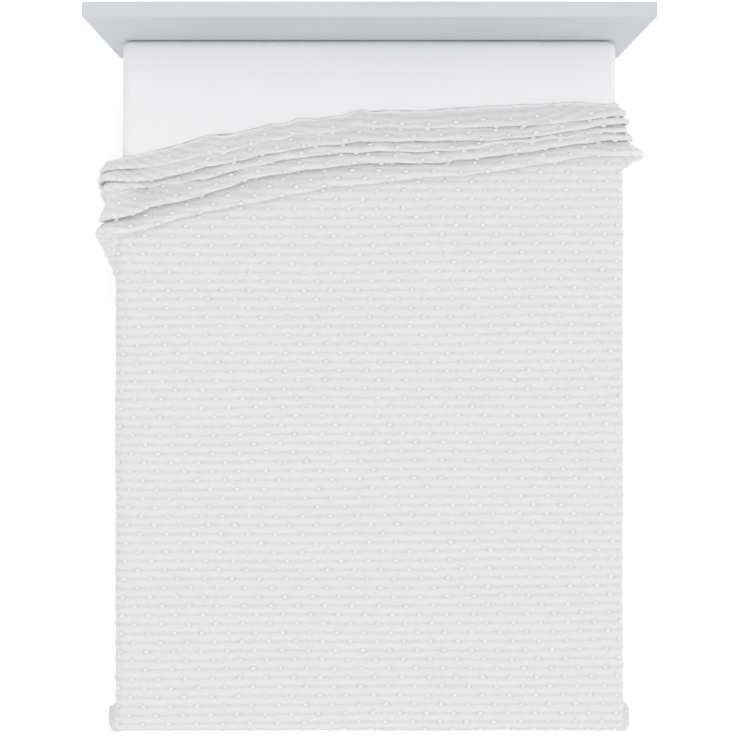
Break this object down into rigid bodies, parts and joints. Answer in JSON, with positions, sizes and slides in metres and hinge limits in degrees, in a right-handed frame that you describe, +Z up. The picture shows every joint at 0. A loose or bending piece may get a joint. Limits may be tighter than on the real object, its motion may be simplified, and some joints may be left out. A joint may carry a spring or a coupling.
{
  "type": "throw blanket draped over a double bed",
  "caption": "Ribbed plush throw blanket with small raised dots, laid over the foot and sides of a double bed and bunched in leaning folds near the headboard.",
  "frame": {"origin": "on the floor, under the middle of the mattress", "axes": "+X to the right of someone who stands at the foot of the bed and faces the headboard, +Y from the foot towards the headboard, +Z up"},
  "size_m": [1.5643, 1.9844, 0.9],
  "materials": {
    "blanket_plush": "soft matt short-pile plush, ribbed",
    "mattress_cotton": "plain woven cotton",
    "bed_paint": "pale blue-grey matt paint on board",
    "leg_wood": "dark stained wood, satin"
  },
  "bodies": {
    "root": {"throw_blanket": "blanket_plush", "mattress": "mattress_cotton", "bed_base": "bed_paint", "headboard": "bed_paint", "leg_head_left": "leg_wood", "leg_head_right": "leg_wood", "leg_foot_left": "leg_wood", "leg_foot_right": "leg_wood"}
  },
  "joints": []
}
